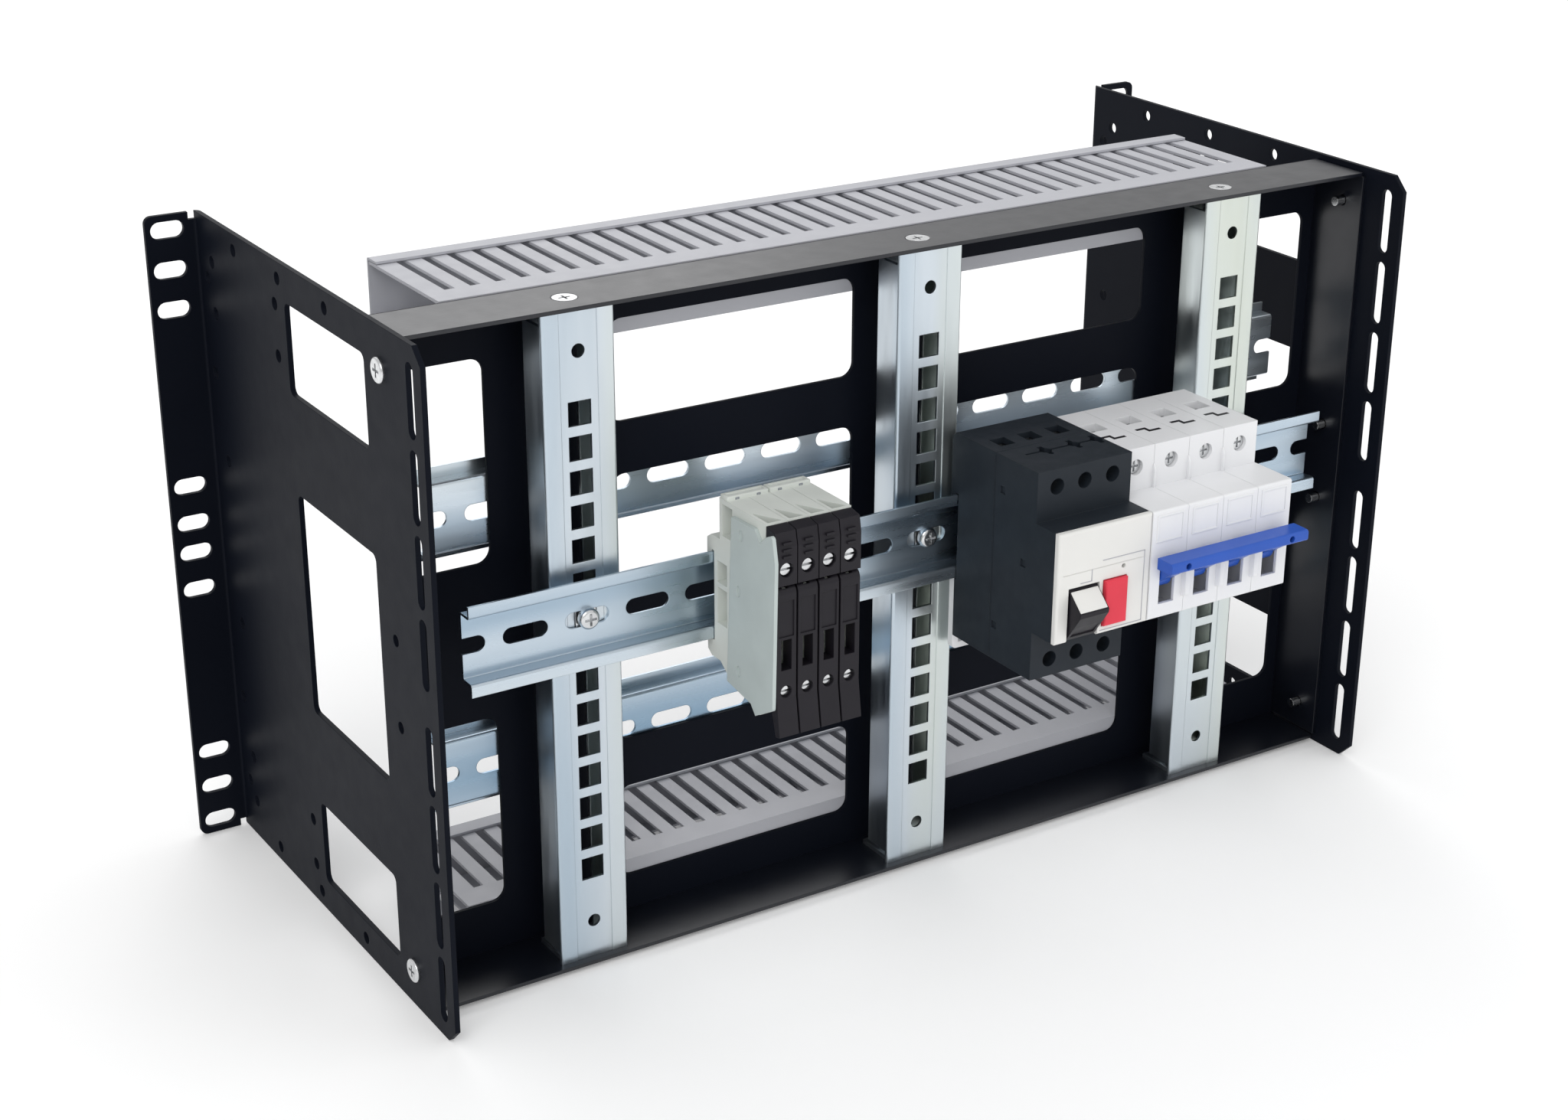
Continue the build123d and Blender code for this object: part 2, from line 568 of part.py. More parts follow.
for index in range(terminals):
    x0 = terminal_x0 + index * terminal_pitch + 0.35
    x1 = x0 + terminal_width - 0.7
    centre_x = (x0 + x1) / 2
    with BuildPart() as lever:
        barrel(x0, x1, pivot_depth, pivot_z, pivot_radius)
        slab(x0, x1, (
            (pivot_depth - 2.6, pivot_z), (pivot_depth + pivot_radius, pivot_z),
            (face_front, device_z - 25.5), (face_front + 2.2, device_z - 40.2),
            (face_front - 0.6, device_z - 40.8), (body_front + 2.4, device_z - 27),
            (body_front + 1.1, device_z - 24), (body_front + 1.1, device_z + 8),
        ))
        # label field, window and screwdriver hole
        box(centre_x - 3.2, centre_x + 3.2, face_front - 0.5, face_front + 1, device_z - 1.5,
            device_z + 12.5, mode=Mode.SUBTRACT)
        box(centre_x - 2.2, centre_x + 2.2, body_front, face_front + 1, device_z - 14.6, device_z - 2.6,
            mode=Mode.SUBTRACT)
        rod(centre_x, lower_screw_z, 2.4, body_front, face_front + 4, mode=Mode.SUBTRACT)
        # fork around the housing's lug
        fork_radius = lug_radius + 0.35
        barrel(centre_x - 1.3, centre_x + 1.3, pivot_depth, pivot_z, fork_radius, mode=Mode.SUBTRACT)
        box(centre_x - 1.3, centre_x + 1.3, pivot_depth - pivot_radius - 1, pivot_depth + fork_radius,
            pivot_z - fork_radius, pivot_z + pivot_radius + 1, mode=Mode.SUBTRACT)
        barrel(x0 - 1, x1 + 1, pivot_depth, pivot_z, lever_pin_radius + 0.1, mode=Mode.SUBTRACT)
    save(lever, f"fuse_lever_{index + 1}")

terminal_centres = [terminal_x0 + index * terminal_pitch + terminal_width / 2 for index in range(terminals)]
with BuildPart() as cartridges:
    with BuildSketch(Plane.XY.offset(device_z - 14)):
        with Locations([(x, y_at(fuse_depth)) for x in terminal_centres]):
            Circle(2.5)
    extrude(amount=20)
save(cartridges, "fuse_cartridges")

with BuildPart() as fuse_clips:
    for x in terminal_centres:
        for z in (device_z - 13.5, device_z + 1.0):
            box(x - 3.1, x + 3.1, fuse_depth - 6, fuse_depth - 2.6, z, z + 4.5)
            for flank in (-1, 1):
                box(x + flank * 2.55, x + flank * 3.1, fuse_depth - 2.6, fuse_depth + 1.5, z, z + 4.5)
save(fuse_clips, "fuse_clips")

with BuildPart() as lever_pins:
    for x in terminal_centres:
        barrel(x - terminal_width / 2 + 0.5, x + terminal_width / 2 - 0.5, pivot_depth, pivot_z,
               lever_pin_radius)
save(lever_pins, "fuse_lever_pins")

with BuildPart() as terminal_screws:
    for x in terminal_centres:
        for z, front in ((upper_screw_z, face_front - 1.2), (lower_screw_z, body_front - 0.4)):
            rod(x, z, 2.3, front - 2.4, front)
            rod(x, z, 1.5, clamp_depth + 4, front - 2.4)
            box(x - 2.5, x + 2.5, front - 1.0, front + 0.1, z - 0.4, z + 0.4, mode=Mode.SUBTRACT)
save(terminal_screws, "fuse_terminal_screws")

with BuildPart() as terminal_clamps:
    for x in terminal_centres:
        for z in (upper_screw_z, lower_screw_z):
            box(x - 2.7, x + 2.7, clamp_depth + 0.4, clamp_depth + 11.6, z - 3.7, z + 3.7)
            box(x - 1.9, x + 1.9, clamp_depth + 1.4, clamp_depth + 8.4, z - 4, z + 4, mode=Mode.SUBTRACT)
            rod(x, z, 1.7, clamp_depth + 8, clamp_depth + 13, mode=Mode.SUBTRACT)
save(terminal_clamps, "fuse_terminal_clamps")

# ---------------------------------------------------------------- motor protection breaker
motor_x0 = 10.2
motor_x1 = 54.8
motor_shoulder = rail_lip + 50
motor_block = rail_lip + 62             # dark block behind the front cover
motor_half = 42.5
front_half = 22.4                       # half height of the raised fronts
motor_poles = (19.4, 32.5, 45.8)
motor_screw_z = 35.4
button_x = (32.4, 43.2)
button_z = (device_z - 19.0, device_z - 0.5)
button_axis = ((button_x[0] + button_x[1]) / 2, (button_z[0] + button_z[1]) / 2)
spring_seat = motor_block - 11
chamber_floor = rail_lip + 5
rocker_x = (16.2, 29.8)
rocker_top = device_z - 0.4             # top of the opening in the cover
rocker_depth = rail_lip + 55
rocker_z = device_z - 12
rocker_rib_x = (32.6, 34.4)             # rib that holds the far end of the rocker's pin
pin_radius = 1.2
latch_x = (10.5, 24.8)
vent_x = (27.6, 41.2, 52.0)
vent_depth = rail_lip + 31.5
side_marks = ((rail_lip + 28.7, device_z + 28.9), (rail_lip + 42.8, device_z + 3.8),
              (rail_lip + 26.1, device_z - 28))

motor_outline = (
    (rail_lip + 0.4, lip_top + 0.5), (hook_depth, lip_top + 0.5), (hook_depth, lip_top - 3.1),
    (foot_depth, lip_top - 3.1), (foot_depth, device_z + motor_half - 2),
    (foot_depth + 2, device_z + motor_half), (motor_shoulder, device_z + motor_half),
    (motor_shoulder, device_z + front_half), (motor_block, device_z + front_half),
    (motor_block, device_z - front_half), (motor_shoulder, device_z - front_half),
    (motor_shoulder, device_z - motor_half), (foot_depth + 2, device_z - motor_half),
    (foot_depth, device_z - motor_half + 2), (foot_depth, lip_bottom - 0.5),
    (rail_lip + 0.4, lip_bottom - 0.5),
)

with BuildPart() as motor_base:
    slab(motor_x0, motor_x1, motor_outline)
    chamfer(motor_base.edges().filter_by(Axis.X).group_by(Axis.Y)[0], length=0.6)
    # mechanism chamber behind the cover
    box(motor_x0 + 2, motor_x1 - 2, chamber_floor, motor_block + 1, device_z - front_half + 2,
        device_z + front_half - 2, mode=Mode.SUBTRACT)
    # shelf that the button's spring rests on, with a hole for the stem
    box(button_x[0], motor_x1 - 1.5, spring_seat - 2, spring_seat, button_axis[1] - 5,
        button_axis[1] + 5)
    box(rocker_rib_x[0], rocker_rib_x[1], spring_seat - 2, rocker_depth + 1.4,
        device_z - front_half + 1, rocker_z + 3)
    barrel(rocker_rib_x[0] - 1, rocker_rib_x[1] + 1, rocker_depth, rocker_z, pin_radius,
           mode=Mode.SUBTRACT)
    rod(button_axis[0], button_axis[1], 2.2, spring_seat - 3, spring_seat + 1, mode=Mode.SUBTRACT)
    # notch under the rocker
    box(rocker_x[0] - 0.6, rocker_x[1] + 0.6, motor_shoulder - 4, motor_block + 1,
        device_z - front_half - 1, device_z - front_half + 3, mode=Mode.SUBTRACT)
    for end in (1, -1):
        for x in motor_poles:
            z = device_z + end * motor_screw_z
            rod(x, z, 3.2, rail_lip + 24, motor_shoulder + 1, mode=Mode.SUBTRACT)
            box(x - 4.5, x + 4.5, rail_lip + 9, rail_lip + 24, z - 4.5, z + 4.5, mode=Mode.SUBTRACT)
            box(x - 3.5, x + 3.5, rail_lip + 11, rail_lip + 19, z,
                device_z + end * (motor_half + 1), mode=Mode.SUBTRACT)
    # channel for the rail latch, open at the rear, the left side and below
    box(motor_x0 - 1, latch_x[1] + 0.4, foot_depth - 1, hook_depth + 0.5,
        device_z - motor_half - 1, lip_bottom + 1, mode=Mode.SUBTRACT)
    # slot with cross-shaped vents in the top, and small square marks in the left side
    with BuildSketch(Plane.XY.offset(device_z + motor_half)):
        with Locations(((motor_x0 + motor_x1) / 2 + 3.5, y_at(vent_depth))):
            Rectangle(motor_x1 - motor_x0 - 9, 1.3)
        with Locations([(x, y_at(vent_depth)) for x in vent_x]):
            Rectangle(2.2, 9)
            Circle(2.5)
    extrude(amount=-2, mode=Mode.SUBTRACT)
    for depth, height in side_marks:
        box(motor_x0 - 1, motor_x0 + 0.6, depth - 1.5, depth + 1.5, height - 1.5, height + 1.5,
            mode=Mode.SUBTRACT)
save(motor_base, "motor_breaker_base")

with BuildPart() as motor_cover:
    box(motor_x0, motor_x1, motor_block, breaker_front, device_z - front_half, device_z + front_half)
    fillet(motor_cover.faces().sort_by(Axis.Y)[0].edges(), radius=1.0)
    box(button_x[0] - 0.35, button_x[1] + 0.35, motor_block - 1, breaker_front + 1,
        button_z[0] - 0.35, button_z[1] + 0.35, mode=Mode.SUBTRACT)
    box(rocker_x[0] - 0.6, rocker_x[1] + 0.6, motor_block - 1, breaker_front + 1,
        device_z - front_half - 1, rocker_top, mode=Mode.SUBTRACT)
    # trip test hole above the button
    rod(button_x[1] - 1.5, button_z[1] + 4.2, 0.9, motor_block - 1, breaker_front + 1,
        mode=Mode.SUBTRACT)
save(motor_cover, "motor_breaker_cover")

with BuildPart() as stop_button:
    box(button_x[0], button_x[1], motor_block - 3, breaker_front + 1.6, button_z[0], button_z[1])
    fillet(stop_button.faces().sort_by(Axis.Y)[0].edges(), radius=0.7)
    # flange that keeps the button in, and the guide stem
    box(button_x[0] - 1.2, button_x[1] + 1.2, motor_block - 1.6, motor_block - 0.1,
        button_z[0] - 1.2, button_z[1] + 1.2)
    rod(button_axis[0], button_axis[1], 1.8, spring_seat - 5, motor_block - 3)
save(stop_button, "stop_button")

with BuildPart() as button_spring:
    with BuildLine() as coil_path:
        Helix(pitch=1.6, height=motor_block - 3.8 - spring_seat, radius=2.7,
              center=(button_axis[0], y_at(motor_block - 3.4), button_axis[1]), direction=(0, 1, 0))
    with BuildSketch(Plane(origin=coil_path.line @ 0, z_dir=coil_path.line % 0)):
        Circle(0.25)
    sweep()
save(button_spring, "stop_button_spring")

with BuildPart() as rocker:
    barrel(rocker_x[0], rocker_x[1], rocker_depth, rocker_z, 4.0)
    slab(rocker_x[0], rocker_x[1], (
        (rocker_depth - 2.5, rocker_z + 3), (breaker_front - 1.2, device_z - 1.0),
        (breaker_front + 7.2, device_z - 8.6), (breaker_front + 7.0, device_z - 10.2),
        (breaker_front - 1.2, device_z - front_half + 0.4), (rocker_depth - 1, rocker_z - 3.8),
    ))
    # grip face below the tip, a little hollow
    slab(rocker_x[0] + 1.2, rocker_x[1] - 1.2, (
        (breaker_front + 6.2, device_z - 12), (breaker_front + 8, device_z - 12),
        (breaker_front + 1, device_z - 21.5), (breaker_front - 0.6, device_z - 20.2),
    ), mode=Mode.SUBTRACT)
    barrel(rocker_x[0] - 1, rocker_x[1] + 1, rocker_depth, rocker_z, pin_radius + 0.1, mode=Mode.SUBTRACT)
save(rocker, "rocker_lever")

with BuildPart() as rocker_pin:
    barrel(motor_x0 + 2, rocker_rib_x[1], rocker_depth, rocker_z, pin_radius)
save(rocker_pin, "rocker_pin")

with BuildPart() as latch:
    latch_low = device_z - motor_half - 6.5
    box(latch_x[0], latch_x[1] - 8, foot_depth + 0.2, hook_depth, latch_low + 4, lip_bottom + 3.4)
    with BuildSketch(facing(foot_depth + 0.2)):
        with Locations(((latch_x[0] + latch_x[1]) / 2, latch_low + 3.5)):
            RectangleRounded(latch_x[1] - latch_x[0], 7, 2)
    extrude(amount=hook_depth - foot_depth - 0.2)
    box(latch_x[0] + 3, latch_x[1] - 3, foot_depth, hook_depth + 1, latch_low + 2.6, latch_low + 4.2,
        mode=Mode.SUBTRACT)
save(latch, "motor_breaker_latch")

with BuildPart() as motor_screws:
    for end in (1, -1):
        for x in motor_poles:
            z = device_z + end * motor_screw_z
            rod(x, z, 2.9, motor_shoulder - 10, motor_shoulder - 7)
            rod(x, z, 1.7, rail_lip + 15, motor_shoulder - 10)
            box(x - 2.2, x + 2.2, motor_shoulder - 8.4, motor_shoulder - 7, z - 0.45, z + 0.45,
                mode=Mode.SUBTRACT)
            box(x - 0.45, x + 0.45, motor_shoulder - 8.4, motor_shoulder - 7, z - 2.2, z + 2.2,
                mode=Mode.SUBTRACT)
save(motor_screws, "motor_breaker_screws")

with BuildPart() as motor_clamps:
    for end in (1, -1):
        for x in motor_poles:
            z = device_z + end * motor_screw_z
            box(x - 4.2, x + 4.2, rail_lip + 9.4, rail_lip + 23.6, z - 4.2, z + 4.2)
            box(x - 3.2, x + 3.2, rail_lip + 10.4, rail_lip + 20.4, z - 5, z + 5, mode=Mode.SUBTRACT)
            rod(x, z, 1.9, rail_lip + 20, rail_lip + 25, mode=Mode.SUBTRACT)
save(motor_clamps, "motor_breaker_clamps")

with BuildPart() as motor_coils:
    for x in motor_poles:
        rod(x, device_z + 6, 5.4, chamber_floor, rail_lip + 30)
        rod(x, device_z + 6, 1.6, rail_lip + 30, rail_lip + 34)
save(motor_coils, "motor_breaker_coils")

# ---------------------------------------------------------------- four-pole miniature breaker
mini_x0 = 55.0
pole_width = module_pitch - 0.1
mini_shoulder = rail_lip + 42.5
mini_low_shoulder = rail_lip + 38.5
mini_half = 40.0
mini_screw_z = (32.0, -31.0)
toggle_z = device_z - 7.0
toggle_depth = breaker_front - 6.0
toggle_hub = 4.4
axle_radius = 1.5
bar_size = (8.6, 4.6)                   # depth and height of the tie bar
bar_bottom = toggle_z + 7.4
pole_centres = [mini_x0 + index * module_pitch + pole_width / 2 for index in range(poles)]
clip_width = 8.0

pole_outline = (
    (rail_lip + 0.4, lip_top + 0.5), (hook_depth, lip_top + 0.5), (hook_depth, lip_top - 3.1),
    (foot_depth, lip_top - 3.1), (foot_depth, device_z + mini_half - 2),
    (foot_depth + 2, device_z + mini_half), (mini_shoulder, device_z + mini_half),
    (mini_shoulder, device_z + front_half), (breaker_front, device_z + front_half),
    (breaker_front, device_z - front_half), (mini_low_shoulder, device_z - front_half),
    (mini_low_shoulder, device_z - mini_half + 6), (mini_low_shoulder - 6, device_z - mini_half),
    (foot_depth + 2, device_z - mini_half), (foot_depth, device_z - mini_half + 2),
    (foot_depth, lip_bottom - 0.5), (rail_lip + 0.4, lip_bottom - 0.5),
)

for index in range(poles):
    x0 = mini_x0 + index * module_pitch
    x1 = x0 + pole_width
    centre_x = pole_centres[index]
    with BuildPart() as pole:
        slab(x0, x1, pole_outline)
        fillet(pole.edges().filter_by(Axis.X).group_by(Axis.Y)[0], radius=1.0)
        # mechanism chamber and the slot that the toggle swings in
        box(x0 + 1.2, x1 - 1.2, chamber_floor, breaker_front - 1.5, device_z - 20.4,
            device_z + 20.4, mode=Mode.SUBTRACT)
        box(centre_x - 3.8, centre_x + 3.8, breaker_front - 2, breaker_front + 1, toggle_z - 9.5,
            toggle_z + 9.5, mode=Mode.SUBTRACT)
        barrel(x0 - 1, x1 + 1, toggle_depth, toggle_z, axle_radius, mode=Mode.SUBTRACT)
        for height, shoulder in zip(mini_screw_z, (mini_shoulder, mini_low_shoulder)):
            z = device_z + height
            end = 1 if height > 0 else -1
            rod(centre_x, z, 3.2, rail_lip + 24, shoulder + 1, mode=Mode.SUBTRACT)
            box(centre_x - 5, centre_x + 5, rail_lip + 10, rail_lip + 24, z - 4.5, z + 4.5,
                mode=Mode.SUBTRACT)
            box(centre_x - 4, centre_x + 4, rail_lip + 11.5, rail_lip + 19.5, z,
                device_z + end * (mini_half + 1), mode=Mode.SUBTRACT)
        # channel for the rail clip
        box(centre_x - clip_width / 2 - 0.4, centre_x + clip_width / 2 + 0.4, foot_depth - 1,
            hook_depth + 0.5, device_z - mini_half - 1, lip_bottom + 1, mode=Mode.SUBTRACT)
    save(pole, f"breaker_pole_{index + 1}")

with BuildPart() as toggles:
    for x in pole_centres:
        barrel(x - 3.4, x + 3.4, toggle_depth, toggle_z, toggle_hub)
        slab(x - 3.4, x + 3.4, (
            (toggle_depth - 1.7, toggle_z + 2.5), (toggle_depth + 5.2, bar_bottom),
            (toggle_depth + 15.6, bar_bottom), (toggle_depth + 1.7, toggle_z - 2.5),
        ))
        barrel(x - 4, x + 4, toggle_depth, toggle_z, axle_radius + 0.1, mode=Mode.SUBTRACT)
save(toggles, "breaker_toggles")

with BuildPart() as tie_bar:
    bar_rear = breaker_front + handle_depth - bar_size[0]
    bar_half = pole_width / 2 - 0.4
    box(pole_centres[0] - bar_half, pole_centres[-1] + bar_half, bar_rear, bar_rear + bar_size[0],
        bar_bottom, bar_bottom + bar_size[1])
    fillet(tie_bar.edges().filter_by(Axis.X).group_by(Axis.Y)[0], radius=1.2)
    for x in (pole_centres[0], pole_centres[-1]):
        rod(x, bar_bottom + bar_size[1] / 2, 1.3, bar_rear + 2, bar_rear + bar_size[0] + 1,
            mode=Mode.SUBTRACT)
save(tie_bar, "breaker_tie_bar")

with BuildPart() as axle:
    barrel(mini_x0 + 1, mini_x0 + poles * module_pitch - 1, toggle_depth, toggle_z, axle_radius)
save(axle, "breaker_axle")

with BuildPart() as mini_screws:
    for x in pole_centres:
        for height, shoulder in zip(mini_screw_z, (mini_shoulder, mini_low_shoulder)):
            z = device_z + height
            rod(x, z, 2.9, shoulder - 4.6, shoulder - 1.6)
            rod(x, z, 1.8, rail_lip + 16, shoulder - 4.6)
            box(x - 2.2, x + 2.2, shoulder - 2.9, shoulder - 1.6, z - 0.45, z + 0.45, mode=Mode.SUBTRACT)
            box(x - 0.45, x + 0.45, shoulder - 2.9, shoulder - 1.6, z - 2.2, z + 2.2, mode=Mode.SUBTRACT)
save(mini_screws, "breaker_screws")

with BuildPart() as mini_clamps:
    for x in pole_centres:
        for height in mini_screw_z:
            z = device_z + height
            box(x - 4.7, x + 4.7, rail_lip + 10.4, rail_lip + 23.6, z - 4.2, z + 4.2)
            box(x - 3.6, x + 3.6, rail_lip + 11.4, rail_lip + 20.4, z - 5, z + 5, mode=Mode.SUBTRACT)
            rod(x, z, 2.0, rail_lip + 20, rail_lip + 25, mode=Mode.SUBTRACT)
save(mini_clamps, "breaker_clamps")

with BuildPart() as mini_coils:
    for x in pole_centres:
        rod(x, device_z + 9, 5.6, chamber_floor, rail_lip + 28)
        rod(x, device_z + 9, 1.6, rail_lip + 28, rail_lip + 33)
save(mini_coils, "breaker_coils")

for index, x in enumerate(pole_centres):
    with BuildPart() as clip:
        clip_low = device_z - mini_half - 5.5
        box(x - clip_width / 2, x + clip_width / 2, foot_depth + 0.2, hook_depth, clip_low,
            lip_bottom + 3.4)
        chamfer(clip.edges().filter_by(Axis.Y).group_by(Axis.Z)[0], length=1.5)
        box(x - 2, x + 2, foot_depth - 1, hook_depth + 1, clip_low + 2, clip_low + 3.8,
            mode=Mode.SUBTRACT)
    save(clip, f"breaker_clip_{index + 1}")
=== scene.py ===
# %% [markdown]
# # A rack chassis with switchgear on its rail
#
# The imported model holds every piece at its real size, so the work here is finish: paint, zinc,
# moulded plastic, light and camera, and the small moulded details that a CAD piece leaves out.
# It starts by loading that model as a fixed frame that nothing below may move.

# %% Load the frame
import json
import math
import bpy
from mathutils import Matrix, Vector


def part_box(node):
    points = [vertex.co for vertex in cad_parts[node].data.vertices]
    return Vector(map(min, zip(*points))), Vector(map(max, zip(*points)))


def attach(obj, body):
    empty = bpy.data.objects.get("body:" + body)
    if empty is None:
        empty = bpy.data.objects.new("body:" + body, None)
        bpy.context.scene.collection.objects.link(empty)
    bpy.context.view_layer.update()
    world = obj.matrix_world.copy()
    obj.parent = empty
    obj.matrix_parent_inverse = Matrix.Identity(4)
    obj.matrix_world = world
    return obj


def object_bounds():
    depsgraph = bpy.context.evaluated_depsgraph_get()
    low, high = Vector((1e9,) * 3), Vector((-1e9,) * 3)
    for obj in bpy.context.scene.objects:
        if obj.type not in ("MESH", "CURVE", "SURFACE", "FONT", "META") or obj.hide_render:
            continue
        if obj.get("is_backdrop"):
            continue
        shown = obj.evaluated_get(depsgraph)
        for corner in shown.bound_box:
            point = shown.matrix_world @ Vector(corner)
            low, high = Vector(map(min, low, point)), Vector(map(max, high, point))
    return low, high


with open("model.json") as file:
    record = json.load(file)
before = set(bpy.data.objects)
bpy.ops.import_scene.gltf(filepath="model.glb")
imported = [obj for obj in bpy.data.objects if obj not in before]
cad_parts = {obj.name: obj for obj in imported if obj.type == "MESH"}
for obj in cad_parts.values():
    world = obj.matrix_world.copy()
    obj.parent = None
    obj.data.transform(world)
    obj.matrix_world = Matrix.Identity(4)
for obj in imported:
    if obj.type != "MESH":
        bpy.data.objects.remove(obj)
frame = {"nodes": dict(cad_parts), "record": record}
cad_low, cad_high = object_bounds()

# %% [markdown]
# ## Small helpers for making materials
#
# A finish is one Principled shader with a little noise behind its colour, roughness and bump.
# Patterns read Object coordinates, because every piece sits at the origin with its place in its
# mesh, so a pattern keeps the same real scale on a screw and on a side plate.

# %% Material helpers
MM = 0.001


def new_finish(name, roughness, metallic=0.0):
    """A material with a Principled shader, and its node tree."""
    finish = bpy.data.materials.new(name)
    finish.use_nodes = True
    shader = finish.node_tree.nodes["Principled BSDF"]
    shader.inputs["Roughness"].default_value = roughness
    shader.inputs["Metallic"].default_value = metallic
    return finish, finish.node_tree, shader


def object_noise(tree, scale, stretch=(1, 1, 1), detail=4.0):
    """Noise on Object coordinates; a stretch below 1 draws it out along that axis."""
    place = tree.nodes.new("ShaderNodeTexCoord")
    mapping = tree.nodes.new("ShaderNodeMapping")
    mapping.inputs["Scale"].default_value = stretch
    tree.links.new(place.outputs["Object"], mapping.inputs["Vector"])
    noise = tree.nodes.new("ShaderNodeTexNoise")
    noise.inputs["Scale"].default_value = scale
    noise.inputs["Detail"].default_value = detail
    tree.links.new(mapping.outputs["Vector"], noise.inputs["Vector"])
    return noise.outputs["Fac"]


def ramp(tree, source, *stops):
    """A colour ramp; each stop is (position, colour)."""
    node = tree.nodes.new("ShaderNodeValToRGB")
    tree.links.new(source, node.inputs["Fac"])
    elements = node.color_ramp.elements
    while len(elements) < len(stops):
        elements.new(0.5)
    for element, (position, colour) in zip(elements, stops):
        element.position = position
        element.color = (*colour, 1.0) if isinstance(colour, tuple) else (colour, colour, colour, 1.0)
    return node.outputs["Color"]


def bumped(tree, shader, height, distance, strength=0.4, edge=0.0):
    """Bump from a height, over normals that are rounded at sharp edges."""
    bump = tree.nodes.new("ShaderNodeBump")
    bump.inputs["Strength"].default_value = strength
    bump.inputs["Distance"].default_value = distance
    tree.links.new(height, bump.inputs["Height"])
    if edge:
        bevel = tree.nodes.new("ShaderNodeBevel")
        bevel.samples = 4
        bevel.inputs["Radius"].default_value = edge
        tree.links.new(bevel.outputs["Normal"], bump.inputs["Normal"])
    tree.links.new(bump.outputs["Normal"], shader.inputs["Normal"])


# %% [markdown]
# ## Powder-coated sheet
#
# The side plates and the tray are folded steel with a black satin powder coat. Powder flows as it
# bakes and leaves a faint orange peel, about a millimetre from crest to crest. That skin is bump,
# the slight unevenness of its sheen is a little noise in the roughness, and cut edges catch a thin
# line of light because the coat is rounded over them. The coat is a deep blue-black. The upright
# sheets are nearly dead matt. The tray's flanges lie flat, so they show a satin sheen when they are
# seen at a low angle, and they have their own shine and roughness.

# %% Black powder coat
def powder_coat(name, shine, rough):
    finish, tree, shader = new_finish(name, rough[0])
    shader.inputs["Specular IOR Level"].default_value = shine
    cloud = object_noise(tree, 9, detail=3)
    colour = ramp(tree, cloud, (0.3, (0.0042, 0.0054, 0.0096)), (0.75, (0.0062, 0.0078, 0.0130)))
    tree.links.new(colour, shader.inputs["Base Color"])
    sheen = ramp(tree, object_noise(tree, 130, detail=4), (0.3, rough[0]), (0.75, rough[1]))
    tree.links.new(sheen, shader.inputs["Roughness"])
    bumped(tree, shader, object_noise(tree, 900, detail=2), 0.00005, 0.35, edge=0.5 * MM)
    return finish


# %% [markdown]
# ## Zinc plate
#
# The posts and rails are bright zinc. Zinc isn't one grey: it drifts from blue to a faint straw
# yellow, it carries the rolling direction of the strip as long streaks, and it dulls in clouds.
# The same recipe serves the posts, which were rolled along their height, and the rails, which
# were rolled along their length, so the streak direction is a parameter.

# %% Zinc plate
def zinc(name, along, blue, plain, straw, rough=(0.24, 0.42)):
    finish, tree, shader = new_finish(name, 0.3, metallic=1.0)
    cloud = object_noise(tree, 17, stretch=along, detail=3)
    tint = ramp(tree, cloud, (0.30, blue), (0.50, plain), (0.74, straw))
    tree.links.new(tint, shader.inputs["Base Color"])
    streaks = object_noise(tree, 240, stretch=along, detail=5)
    dull = ramp(tree, streaks, (0.3, rough[0]), (0.75, rough[1]))
    tree.links.new(dull, shader.inputs["Roughness"])
    bumped(tree, shader, streaks, 0.00002, 0.16, edge=0.4 * MM)
    return finish


# %% [markdown]
# ## Plated screws, brass and copper
#
# Small metal pieces are too small for clouds or streaks to read. They need a clean reflection with
# a little variation, so that a screw head sparkles but doesn't look like a mirror.

# %% Small metal parts
def small_metal(name, colour, roughness):
    finish, tree, shader = new_finish(name, roughness, metallic=1.0)
    darker = tuple(part * 0.8 for part in colour)
    tint = ramp(tree, object_noise(tree, 320), (0.35, darker), (0.65, colour))
    tree.links.new(tint, shader.inputs["Base Color"])
    bumped(tree, shader, object_noise(tree, 1500, detail=3), 0.00003, 0.3, edge=0.25 * MM)
    return finish


# %% [markdown]
# ## Moulded plastic
#
# Housings, ducts and levers are injection moulded or extruded. The mould's spark-eroded skin is a
# very fine grain in the bump, the colour drifts by a percent or two, and every edge has a small
# radius. One recipe with a colour, a roughness and a grain size gives all of them, and the ducts
# add long faint lines where the profile was drawn from its die.

# %% Moulded plastic
def plastic(name, colour, roughness, grain=0.00004, drift=0.06, lines=None, coat=0.0, shine=0.4):
    finish, tree, shader = new_finish(name, roughness)
    shader.inputs["Specular IOR Level"].default_value = shine
    low = tuple(part * (1 - drift) for part in colour)
    high = tuple(min(part * (1 + drift), 1.0) for part in colour)
    tint = ramp(tree, object_noise(tree, 45, stretch=lines or (1, 1, 1)), (0.3, low), (0.7, high))
    tree.links.new(tint, shader.inputs["Base Color"])
    patches = object_noise(tree, 150, detail=6)
    dull = ramp(tree, patches, (0.3, roughness * 0.88), (0.7, min(roughness * 1.12, 1.0)))
    tree.links.new(dull, shader.inputs["Roughness"])
    shader.inputs["Coat Weight"].default_value = coat
    shader.inputs["Coat Roughness"].default_value = 0.12
    bumped(tree, shader, object_noise(tree, 2600, detail=2), grain, 0.4, edge=0.35 * MM)
    return finish


# %% [markdown]
# ## Which finish goes where
#
# The record names a material slot for every node, so the finishes are kept by slot name and each
# node looks its own up. The tray's flanges are the exception: their slot is the black paint, and
# they take its shinier version. New pieces made further down use the same table.

